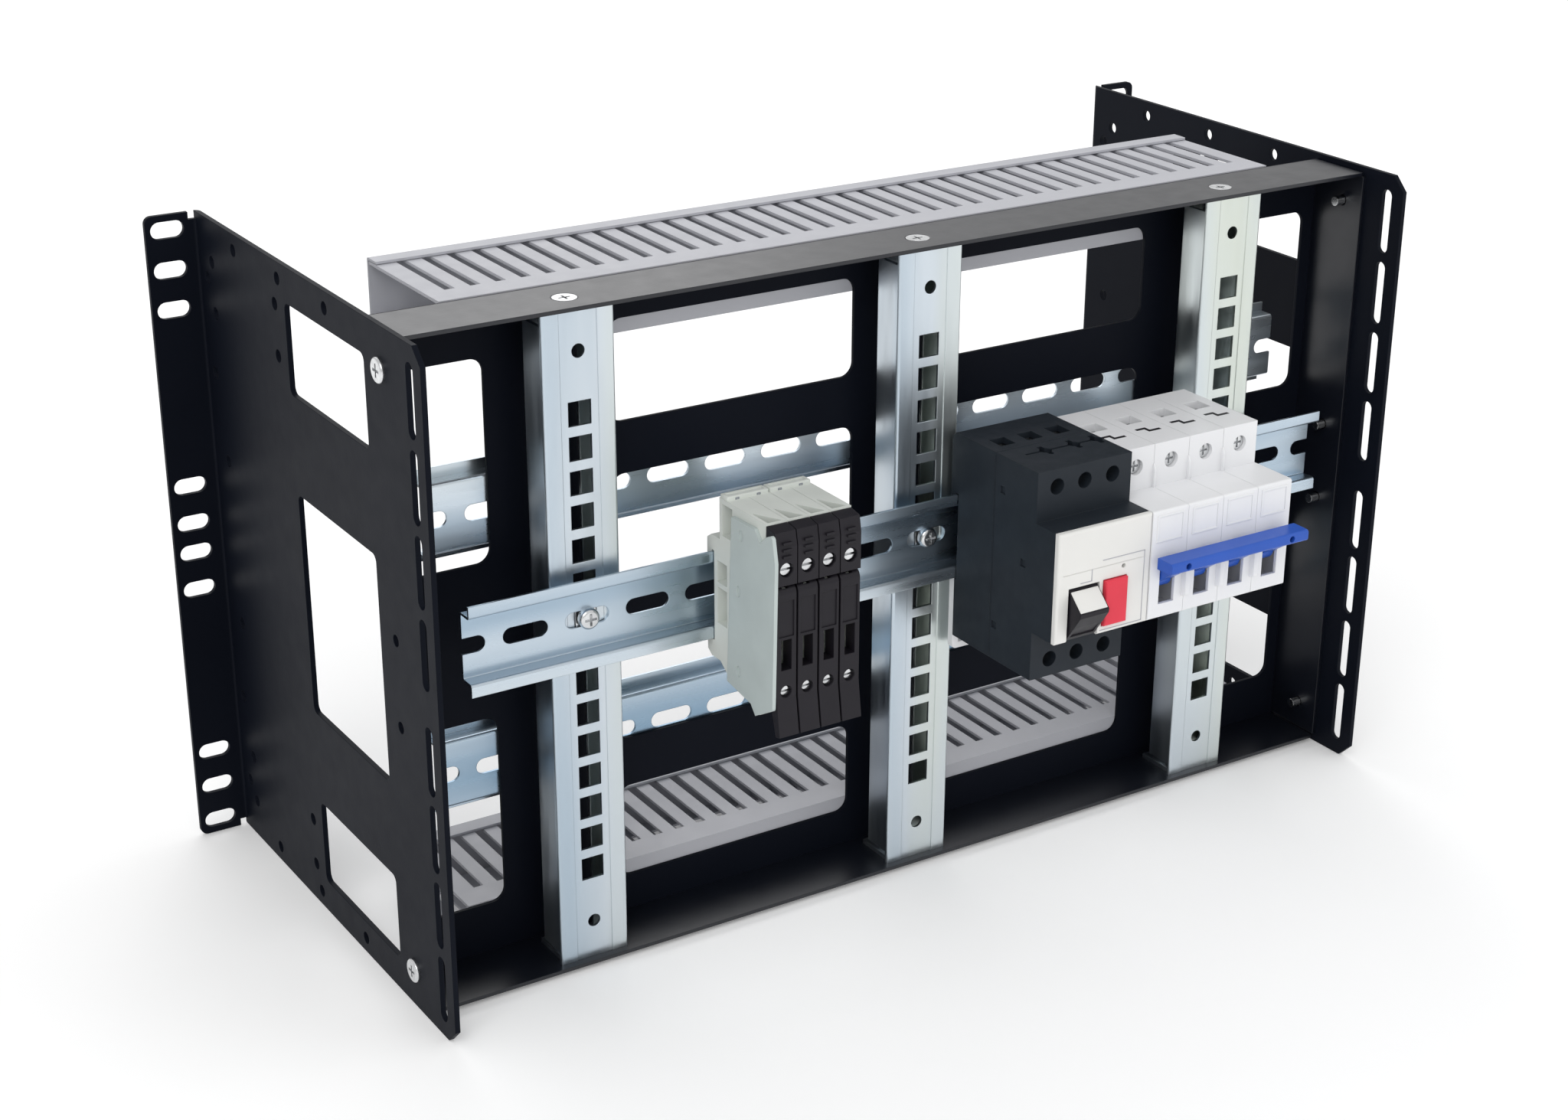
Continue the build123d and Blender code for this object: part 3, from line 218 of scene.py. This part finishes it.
# %% Finish table
FINISH = {
    "black_paint": powder_coat("black_powder_coat", 0.05, (0.44, 0.49)),
    "flange_paint": powder_coat("flange_powder_coat", 0.55, (0.30, 0.36)),
    "zinc_plate": zinc("post_zinc", (1, 1, 0.10), (0.38, 0.49, 0.59), (0.62, 0.68, 0.73),
                       (0.66, 0.70, 0.62), rough=(0.28, 0.42)),
    "rail_steel": zinc("rail_zinc", (0.08, 1, 1), (0.26, 0.38, 0.50), (0.58, 0.66, 0.73),
                       (0.72, 0.76, 0.76), rough=(0.24, 0.36)),
    "screw_steel": small_metal("screw_zinc", (0.74, 0.75, 0.76), 0.22),
    "duct_pvc": plastic("duct_pvc", (0.45, 0.455, 0.49), 0.50, drift=0.04, lines=(0.05, 1, 1)),
    "rivet_plastic": plastic("rivet_nylon", (0.26, 0.28, 0.31), 0.45),
    "beige_plastic": plastic("terminal_beige", (0.66, 0.69, 0.65), 0.50),
    "end_plate_plastic": plastic("end_plate_grey_green", (0.48, 0.54, 0.53), 0.52),
    "black_plastic": plastic("lever_black", (0.0105, 0.0090, 0.0130), 0.42, shine=0.25),
    "charcoal_plastic": plastic("charcoal_moulding", (0.0150, 0.0200, 0.0270), 0.50,
                                grain=0.00006, shine=0.22),
    "off_white_plastic": plastic("cover_off_white", (0.76, 0.755, 0.73), 0.42, drift=0.02, shine=0.3),
    "white_plastic": plastic("pole_white", (0.80, 0.805, 0.82), 0.38, drift=0.015, shine=0.3),
    "blue_plastic": plastic("handle_blue", (0.022, 0.092, 0.46), 0.33, shine=0.3),
    "red_plastic": plastic("button_red", (0.74, 0.040, 0.070), 0.36, shine=0.3),
    "brass": small_metal("clip_brass", (0.78, 0.60, 0.28), 0.28),
    "copper_wire": small_metal("coil_copper", (0.72, 0.36, 0.20), 0.30),
    "fuse_glass": plastic("fuse_ceramic", (0.78, 0.78, 0.76), 0.22, coat=0.5),
}
slot_of = {entry["node"]: entry["material_slot"] for entry in frame["record"]["subparts"]}


def dress(piece, slot):
    """Gives a piece its finish."""
    piece.data.materials.clear()
    piece.data.materials.append(FINISH[slot])


for node, piece in frame["nodes"].items():
    dress(piece, slot_of[node])
dress(frame["nodes"]["tray_flanges"], "flange_paint")
print("dressed", len(frame["nodes"]), "nodes with", len(FINISH), "finishes")

# %% [markdown]
# ## Modelling by operators
#
# Each extra piece starts as a primitive, set to its real size and place, and is then shaped in
# edit mode. Small helpers keep that readable: one adds a block with rounded edges, one selects the
# faces that look in one direction, and one insets and sinks such a face. A group of equal shapes
# is joined into one piece, and a last helper shades it, dresses it and gives it its body.

# %% Modelling helpers
def fresh():
    """Nothing selected, object mode."""
    bpy.ops.object.select_all(action="DESELECT")


def block(name, low, high, edge=0.0, steps=2):
    """A cube set to two corners, with its edges rounded."""
    fresh()
    low, high = Vector(low), Vector(high)
    bpy.ops.mesh.primitive_cube_add(size=1, location=(low + high) / 2)
    piece = bpy.context.object
    piece.name = name
    piece.scale = high - low
    bpy.ops.object.transform_apply(location=True, rotation=True, scale=True)
    if edge:
        bpy.ops.object.mode_set(mode="EDIT")
        bpy.ops.mesh.select_all(action="SELECT")
        bpy.ops.mesh.bevel(offset=edge, segments=steps, affect="EDGES")
        bpy.ops.object.mode_set(mode="OBJECT")
    return piece


def select_facing(piece, direction, least=0.95):
    """Edit mode, with only the faces that look along a direction selected."""
    fresh()
    bpy.context.view_layer.objects.active = piece
    piece.select_set(True)
    bpy.ops.object.mode_set(mode="EDIT")
    bpy.ops.mesh.select_mode(type="FACE")
    bpy.ops.mesh.select_all(action="DESELECT")
    bpy.ops.object.mode_set(mode="OBJECT")
    goal = Vector(direction)
    for face in piece.data.polygons:
        face.select = face.normal.dot(goal) > least
    bpy.ops.object.mode_set(mode="EDIT")


def sunk_panel(piece, direction, rim, depth):
    """Insets the faces on one side and pushes them in."""
    select_facing(piece, direction)
    bpy.ops.mesh.inset(thickness=rim, depth=0)
    push = -Vector(direction) * depth
    bpy.ops.mesh.extrude_region_move(TRANSFORM_OT_translate={"value": push})
    bpy.ops.object.mode_set(mode="OBJECT")


def joined(name, parts):
    """Several shapes as one piece."""
    fresh()
    for part in parts:
        part.select_set(True)
    bpy.context.view_layer.objects.active = parts[0]
    if len(parts) > 1:
        bpy.ops.object.join()
    parts[0].name = name
    parts[0].data.name = name
    return parts[0]


def finished(piece, body, slot, angle=35):
    """Smooth shading, finish and body for a piece that is done."""
    fresh()
    piece.select_set(True)
    bpy.context.view_layer.objects.active = piece
    bpy.ops.object.shade_smooth_by_angle(angle=math.radians(angle))
    dress(piece, slot)
    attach(piece, body)
    print(piece.name, len(piece.data.polygons), "faces on", body)
    return piece


# %% [markdown]
# ## Landmarks
#
# Places come from the frame. The four pole housings give the breaker's front, top and pitch, and
# its axle gives the toggles' height. The terminal housings and the motor breaker's base and cover
# give theirs.

# %% Landmarks
pole_boxes = [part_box(f"breaker_pole_{number}") for number in range(1, 5)]
pole_low, pole_high = pole_boxes[0]
breaker_front = pole_low.y
breaker_top = pole_high.z
pole_centres = [(low.x + high.x) / 2 for low, high in pole_boxes]
axle_low, axle_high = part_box("breaker_axle")
toggle_z = (axle_low.z + axle_high.z) / 2
terminal_boxes = [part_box(f"fuse_housing_{number}") for number in range(1, 5)]
cover_low, cover_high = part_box("motor_breaker_cover")
motor_low, motor_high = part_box("motor_breaker_base")
print("poles at", [round(x / MM, 1) for x in pole_centres], "mm")

# %% [markdown]
# ## Guard ribs beside the toggles
#
# The white housing has low ribs between the toggles, so that a finger can't rest on a neighbour.
# Each is a block with a rounded nose. A plain block would look stuck on, so the nose is tapered
# by scaling its front faces in edit mode.

# %% Guard ribs
RIB_DEPTH = 2.2 * MM
RIB_HALF = 1.6 * MM
RIB_REACH = 8.4 * MM


def guard_rib(x):
    rib = block("rib", (x - RIB_HALF, breaker_front - RIB_DEPTH, toggle_z - RIB_REACH),
                (x + RIB_HALF, breaker_front + 0.2 * MM, toggle_z + RIB_REACH * 0.55))
    select_facing(rib, (0, -1, 0))
    bpy.ops.transform.resize(value=(0.7, 1, 0.86))
    bpy.ops.object.mode_set(mode="OBJECT")
    select_facing(rib, (0, -1, 0), least=0.0)
    bpy.ops.mesh.bevel(offset=0.4 * MM, segments=2, affect="EDGES")
    bpy.ops.object.mode_set(mode="OBJECT")
    return rib


rib_places = [(left + right) / 2 for left, right in zip(pole_centres, pole_centres[1:])]
finished(joined("breaker_guard_ribs", [guard_rib(x) for x in rib_places]), "chassis", "white_plastic")

# %% [markdown]
# ## Ribs under the terminal screws
#
# A thin rib stands between neighbouring poles where the housing steps back to its terminals. It
# lengthens the path between two wires. The rib is a block whose upper end is drawn back into the
# shoulder, so that it fades out under the screws instead of ending in a square stub.

# %% Shoulder ribs
SHOULDER_DEPTH = 22.0 * MM
STEP_HALF = 22.4 * MM
POLE_HALF_HEIGHT = 40.0 * MM
SHOULDER_RIB_HALF = 0.55 * MM
SHOULDER_RIB_HEIGHT = 7.5 * MM
device_z = pole_low.z + POLE_HALF_HEIGHT
shoulder_y = breaker_front + SHOULDER_DEPTH


def shoulder_rib(x):
    step_z = device_z + STEP_HALF
    rib = block("shoulder_rib", (x - SHOULDER_RIB_HALF, shoulder_y - 1.3 * MM, step_z - 0.5 * MM),
                (x + SHOULDER_RIB_HALF, shoulder_y + 0.3 * MM, step_z + SHOULDER_RIB_HEIGHT),
                edge=0.2 * MM)
    select_facing(rib, (0, 0, 1))
    bpy.ops.transform.translate(value=(0, 0.9 * MM, 2.2 * MM))
    bpy.ops.object.mode_set(mode="OBJECT")
    return rib


shoulder_ribs = joined("breaker_shoulder_ribs", [shoulder_rib(x) for x in rib_places])
finished(shoulder_ribs, "chassis", "white_plastic")

# %% [markdown]
# ## Marking panels on the poles
#
# Above its toggle each pole has a slightly raised flat where the maker would print ratings. Here
# it stays blank. It is a thin block with its face inset and sunk by a hair, which leaves a frame
# that the light picks out.

# %% Marking panels
PANEL_HALF = 6.6 * MM
PANEL_FOOT = 16.4 * MM       # above the toggles' axle
PANEL_HEAD = 27.6 * MM
panel_low_z = toggle_z + PANEL_FOOT
panel_high_z = toggle_z + PANEL_HEAD


def marking_panel(x):
    panel = block("panel", (x - PANEL_HALF, breaker_front - 0.35 * MM, panel_low_z),
                  (x + PANEL_HALF, breaker_front + 0.2 * MM, panel_high_z), edge=0.15 * MM, steps=1)
    sunk_panel(panel, (0, -1, 0), 0.7 * MM, 0.2 * MM)
    return panel


finished(joined("breaker_marking_panels", [marking_panel(x) for x in pole_centres]),
         "chassis", "white_plastic")

# %% [markdown]
# ## Painted shade in the busbar notches on the top of the poles
#
# The top of each pole has a narrow dog-leg notch where a comb busbar slides in. A real notch is
# deep and so looks dark. These aren't cut: the dark is painted shade, three thin black blocks joined
# in a step, which stand less than a tenth of a millimetre above the housing.

# %% Busbar notch shade, painted black
NOTCH_SETBACK = 36.5 * MM
NOTCH_STEP = 1.5 * MM
NOTCH_HALF = 0.8 * MM
notch_y = breaker_front + NOTCH_SETBACK


# Painted shade: thin black blocks stand in for the shade inside each notch of the white housing.
def busbar_notch_shade(x):
    lift = breaker_top + 0.06 * MM
    floor = breaker_top - 0.5 * MM
    rear = notch_y + NOTCH_STEP
    front = notch_y - NOTCH_STEP
    left = block("notch", (x - 5.2 * MM, rear - NOTCH_HALF, floor),
                 (x - 0.4 * MM, rear + NOTCH_HALF, lift))
    leg = block("notch", (x - 1.6 * MM, front - NOTCH_HALF, floor),
                (x - 0.1 * MM, rear + NOTCH_HALF, lift - 0.01 * MM))
    right = block("notch", (x - 0.8 * MM, front - NOTCH_HALF, floor),
                  (x + 4.6 * MM, front + NOTCH_HALF, lift))
    for part in (left, leg, right):
        select_facing(part, (0, 0, 1))
        bpy.ops.mesh.inset(thickness=0.12 * MM, depth=0)
        bpy.ops.transform.translate(value=(0, 0, -0.03 * MM))
        bpy.ops.object.mode_set(mode="OBJECT")
    return joined("notch", [left, leg, right])


notch_shade_piece = joined("breaker_busbar_notch_shade", [busbar_notch_shade(x) for x in pole_centres])
# The black here is painted shade of the notches, not a black part of the housing.
finished(notch_shade_piece, "chassis", "black_plastic")

# %% [markdown]
# ## Marker ridge on the terminals
#
# The top of every pair of terminals carries a ridge with small windows for marker tags. Each
# ridge is one block over two housings, with its top inset. It stands just in front of the rear
# edge of the housings' top, and the tag windows are small grey panes along its front.

# %% Marker ridge
RIDGE_SETBACK = 9.2 * MM     # from the rear of the housing's foot to the rear of the ridge
RIDGE_WIDTH = 5.0 * MM
RIDGE_HEIGHT = 1.5 * MM
RIDGE_GAP = 0.2 * MM
RIDGE_RIM = 0.8 * MM
RIDGE_SINK = 0.4 * MM
housing_high = terminal_boxes[0][1]
ridge_rear = housing_high.y - RIDGE_SETBACK
ridge_front = ridge_rear - RIDGE_WIDTH


def ridge(first, last):
    x0 = terminal_boxes[first][0].x + RIDGE_GAP
    x1 = terminal_boxes[last][1].x - RIDGE_GAP
    top = housing_high.z
    bar = block("ridge", (x0, ridge_front, top - 1 * MM), (x1, ridge_rear, top + RIDGE_HEIGHT), edge=0.4 * MM)
    sunk_panel(bar, (0, 0, 1), RIDGE_RIM, RIDGE_SINK)
    return bar


finished(joined("terminal_marker_ridge", [ridge(0, 1), ridge(2, 3)]), "chassis", "beige_plastic")


TAG_HALF = 0.9 * MM
TAG_HEIGHT = 0.9 * MM


def tag_window(x):
    top = housing_high.z
    pane = block("tag", (x - TAG_HALF, ridge_front - 0.1 * MM, top - 0.2 * MM),
                 (x + TAG_HALF, ridge_front + 1.2 * MM, top + TAG_HEIGHT), edge=0.2 * MM)
    sunk_panel(pane, (0, -1, 0), 0.25 * MM, 0.2 * MM)
    return pane


tag_places = [(low.x + high.x) / 2 for low, high in terminal_boxes]
finished(joined("terminal_tag_windows", [tag_window(x) for x in tag_places]), "chassis", "rivet_plastic")

# %% [markdown]
# ## Mouldings on the motor breaker
#
# The dark housing isn't a plain box. A line runs up its left side and over its top where its two
# shells meet, and a fine line crosses the front cover above its setting field. Both are thin strips
# with rounded edges, and they stand only a tenth or two of a millimetre proud.

# %% Shell seam and cover line
SEAM_SHARE = 0.42            # of the housing's depth, from its rear
SEAM_HALF = 0.4 * MM
COVER_LINE_DROP = 17.0 * MM
COVER_LINE_HALF = 0.15 * MM
seam_y = motor_high.y - SEAM_SHARE * (motor_high.y - motor_low.y)


def seam_strip(low, high):
    strip = block("seam", low, high, edge=0.12 * MM, steps=2)
    sunk_panel(strip, (-1, 0, 0), 0.1 * MM, 0.08 * MM)
    return strip


side_x = motor_low.x
seam = seam_strip((side_x - 0.15 * MM, seam_y - SEAM_HALF, motor_low.z + 1 * MM),
                  (side_x + 0.3 * MM, seam_y + SEAM_HALF, motor_high.z - 1 * MM))
top_seam = seam_strip((side_x + 0.3 * MM, seam_y - SEAM_HALF, motor_high.z - 0.3 * MM),
                      (motor_high.x - 0.3 * MM, seam_y + SEAM_HALF, motor_high.z + 0.15 * MM))
finished(joined("motor_breaker_seam", [seam, top_seam]), "chassis", "charcoal_plastic")

line_z = cover_high.z - COVER_LINE_DROP
groove = block("groove", (cover_low.x + 2.5 * MM, cover_low.y - 0.12 * MM, line_z - COVER_LINE_HALF),
               (cover_high.x - 2.5 * MM, cover_low.y + 0.3 * MM, line_z + COVER_LINE_HALF),
               edge=0.05 * MM)
sunk_panel(groove, (0, -1, 0), 0.05 * MM, 0.05 * MM)
finished(joined("motor_breaker_cover_line", [groove]), "chassis", "off_white_plastic")

# %% [markdown]
# ## Captive screws in the levers
#
# Each black lever holds a small slotted screw near its lower end. Its head is two half discs with
# a gap for the screwdriver, over a thinner disc that is the floor of the slot. A cylinder is cut
# by a bisecting plane to give a half, which is neater than subtracting a block from a disc.

# %% Lever screws
SCREW_RADIUS = 2.0 * MM
SLOT_HALF = 0.4 * MM
SLOT_FLOOR_SHARE = 1.19      # radius of the disc under the head, over the head's
SCREW_DROP = 23.2 * MM       # below the devices' middle
LEVER_SETBACK = 0.7 * MM     # from the ribbed heads' face to the levers' face
HEAD_SETBACK = 1.1 * MM      # from the levers' face to the screw's head, in its recess
lever_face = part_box("fuse_heads")[0].y + LEVER_SETBACK
screw_z = device_z - SCREW_DROP
screw_front = lever_face + HEAD_SETBACK


def disc(x, radius, front, rear):
    """A short round bar along the depth, its front rim rounded."""
    fresh()
    bpy.ops.mesh.primitive_cylinder_add(vertices=32, radius=radius, depth=rear - front,
                                        location=(x, (front + rear) / 2, screw_z),
                                        rotation=(math.pi / 2, 0, 0))
    piece = bpy.context.object
    bpy.ops.object.transform_apply(location=True, rotation=True, scale=True)
    select_facing(piece, (0, -1, 0))
    bpy.ops.mesh.bevel(offset=0.25 * MM, segments=2, affect="EDGES")
    bpy.ops.object.mode_set(mode="OBJECT")
    return piece


def half_disc(x, side):
    piece = disc(x, SCREW_RADIUS, screw_front, screw_front + 1.4 * MM)
    bpy.ops.object.mode_set(mode="EDIT")
    bpy.ops.mesh.select_all(action="SELECT")
    bpy.ops.mesh.bisect(plane_co=(x, screw_front, screw_z + side * SLOT_HALF), plane_no=(0, 0, side),
                        use_fill=True, clear_inner=True)
    bpy.ops.object.mode_set(mode="OBJECT")
    return piece


for number, place in enumerate(tag_places, start=1):
    halves = [half_disc(place, side) for side in (1, -1)]
    base = disc(place, SCREW_RADIUS * SLOT_FLOOR_SHARE, screw_front + 0.9 * MM, screw_front + 3.0 * MM)
    screw = joined(f"lever_screw_{number}", [base] + halves)
    finished(screw, f"lever_{number}", "screw_steel")

# %% [markdown]
# ## Light top of the rocker
#
# The black rocker wears a pale top where its on mark is read. It is a thin slab that follows the
# slope: a flat block is made over the top, and its front end is then lowered to the tip.

# %% Rocker top
ROCKER_FALL = 6.15 * MM      # from the top's root to its tip
ROCKER_TOP_SKIN = 0.55 * MM
rocker_top_z = device_z - 1.75 * MM
rocker_low, rocker_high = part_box("rocker_lever")
rocker_lip = rocker_low.y + 0.5 * MM
rocker_root = cover_low.y - 0.2 * MM
top = block("rocker_top_face", (rocker_low.x + 0.4 * MM, rocker_lip, rocker_top_z - ROCKER_TOP_SKIN),
            (rocker_high.x - 0.4 * MM, rocker_root, rocker_top_z))
select_facing(top, (0, -1, 0))
bpy.ops.transform.translate(value=(0, 0, -ROCKER_FALL))
bpy.ops.mesh.select_all(action="SELECT")
bpy.ops.mesh.bevel(offset=0.12 * MM, segments=2, affect="EDGES")
bpy.ops.object.mode_set(mode="OBJECT")
finished(top, "rocker", "off_white_plastic")

# %% [markdown]
# ## Fine frame on the motor breaker's cover
#
# Hair lines frame the field with the red button, and a short bracket marks the rocker's on
# position. They are raised strips a tenth of a millimetre high with rounded edges, which is how
# such marks are moulded.

# %% Cover frame
HAIR = 0.35 * MM
BRACKET_WIDTH = 5.5 * MM
BRACKET_HEIGHT = 5.0 * MM
button_low, button_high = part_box("stop_button")


def hair_line(x0, x1, z0, z1):
    return block("hair_line", (x0, cover_low.y - 0.14 * MM, z0), (x1, cover_low.y + 0.2 * MM, z1),
                 edge=0.06 * MM)


field_left, field_right = button_low.x + 0.2 * MM, cover_high.x - 3.0 * MM
field_low, field_high = button_low.z - 0.9 * MM, button_high.z + 7.5 * MM
bracket_x, bracket_z = rocker_high.x - 3.2 * MM, device_z + 0.6 * MM
hair_lines = [
    hair_line(field_left, field_right, field_high - HAIR, field_high),
    hair_line(field_left, field_right, field_low, field_low + HAIR),
    hair_line(field_right - HAIR, field_right, field_low, field_high),
    hair_line(bracket_x - BRACKET_WIDTH, bracket_x, bracket_z, bracket_z + HAIR),
    hair_line(bracket_x - HAIR, bracket_x, bracket_z, bracket_z + BRACKET_HEIGHT),
]
finished(joined("motor_breaker_hair_lines", hair_lines), "chassis", "duct_pvc")

# %% [markdown]
# ## Ribs along the duct covers
#
# The covers are extruded, and two low ribs run their whole length to stiffen them. They face the
# rear, where nothing else breaks up the long grey surface.

# %% Cover ribs
COVER_RIB_HALF = 1.0 * MM
COVER_RIB_PROUD = 0.35 * MM
COVER_RIB_OFFSET = 6.0 * MM   # above and below the cover's middle


def cover_rib(low, high, z):
    return block("cover_rib", (low.x + 0.5 * MM, high.y - 0.3 * MM, z - COVER_RIB_HALF),
                 (high.x - 0.5 * MM, high.y + COVER_RIB_PROUD, z + COVER_RIB_HALF), edge=0.25 * MM)


for level in ("top", "bottom"):
    low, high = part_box(f"duct_{level}_cover")
    middle = (low.z + high.z) / 2
    ribs = [cover_rib(low, high, middle + side * COVER_RIB_OFFSET) for side in (1, -1)]
    finished(joined(f"duct_{level}_cover_ribs", ribs), f"{level}_cover", "duct_pvc")

# %% [markdown]
# ## Floor, light and camera
#
# A pale floor, an even sky and three wide soft lights keep the black sheet readable and give the
# zinc something to reflect. The floor glows faintly, so that the ground stays close to white, and
# the Standard view transform keeps the black sheet black. The camera stands to the left of the
# front and above it, with a moderately long lens.

# %% Floor
FLOOR_SIZE = 14.0
fresh()
bpy.ops.mesh.primitive_plane_add(size=FLOOR_SIZE, location=(0, 0, cad_low.z - 0.3 * MM))
floor = bpy.context.object
floor.name = "floor"
bpy.ops.object.mode_set(mode="EDIT")
bpy.ops.mesh.subdivide(number_cuts=2)
bpy.ops.object.mode_set(mode="OBJECT")
floor_finish, _, floor_shader = new_finish("floor_paper", 0.9)
floor_shader.inputs["Base Color"].default_value = (0.92, 0.92, 0.92, 1)
floor_shader.inputs["Emission Color"].default_value = (1, 1, 1, 1)
floor_shader.inputs["Emission Strength"].default_value = 0.14
floor_shader.inputs["Specular IOR Level"].default_value = 0.1
floor.data.materials.append(floor_finish)
floor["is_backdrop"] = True

# %% Light
TARGET = Vector((0, 0, (cad_low.z + cad_high.z) / 2))


def soft_light(name, place, size, power, colour=(1, 1, 1)):
    """A square area light that looks at the object."""
    lamp = bpy.data.lights.new(name, "AREA")
    lamp.energy = power
    lamp.size = size
    lamp.color = colour
    holder = bpy.data.objects.new(name, lamp)
    bpy.context.scene.collection.objects.link(holder)
    holder.location = place
    holder.rotation_euler = (TARGET - Vector(place)).to_track_quat("-Z", "Y").to_euler()
    return holder


soft_light("key", (-1.6, -1.5, 2.0), 1.6, 20)
soft_light("fill", (1.9, -1.3, 1.0), 1.4, 6, (0.94, 0.97, 1.0))
soft_light("rim", (0.4, 2.0, 1.7), 1.8, 14)
world = bpy.data.worlds.new("studio")
bpy.context.scene.world = world
world.use_nodes = True
sky = world.node_tree.nodes["Background"]
sky.inputs["Color"].default_value = (1, 1, 1, 1)
sky.inputs["Strength"].default_value = 0.80
bpy.context.scene.view_settings.view_transform = "Standard"

# %% Camera
AZIMUTH = math.radians(-33.36)
ELEVATION = math.radians(22.98)
ROLL = math.radians(0.67)
STAND = Vector((-0.5518, -0.8204, 0.5279))
lens = bpy.data.cameras.new("camera")
lens.lens = 59.8
lens.sensor_width = 36
lens.shift_x = -0.0305
lens.shift_y = 0.0141
camera = bpy.data.objects.new("camera", lens)
bpy.context.scene.collection.objects.link(camera)
camera.location = STAND
turn = Matrix.Rotation(AZIMUTH, 3, "Z") @ Matrix.Rotation(math.pi / 2 - ELEVATION, 3, "X")
camera.rotation_euler = (turn @ Matrix.Rotation(ROLL, 3, "Z")).to_euler()
bpy.context.scene.camera = camera

# %% Sizes, and the end
low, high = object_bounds()
print("visual box", [round((b - a) / MM, 1) for a, b in zip(low, high)], "mm")
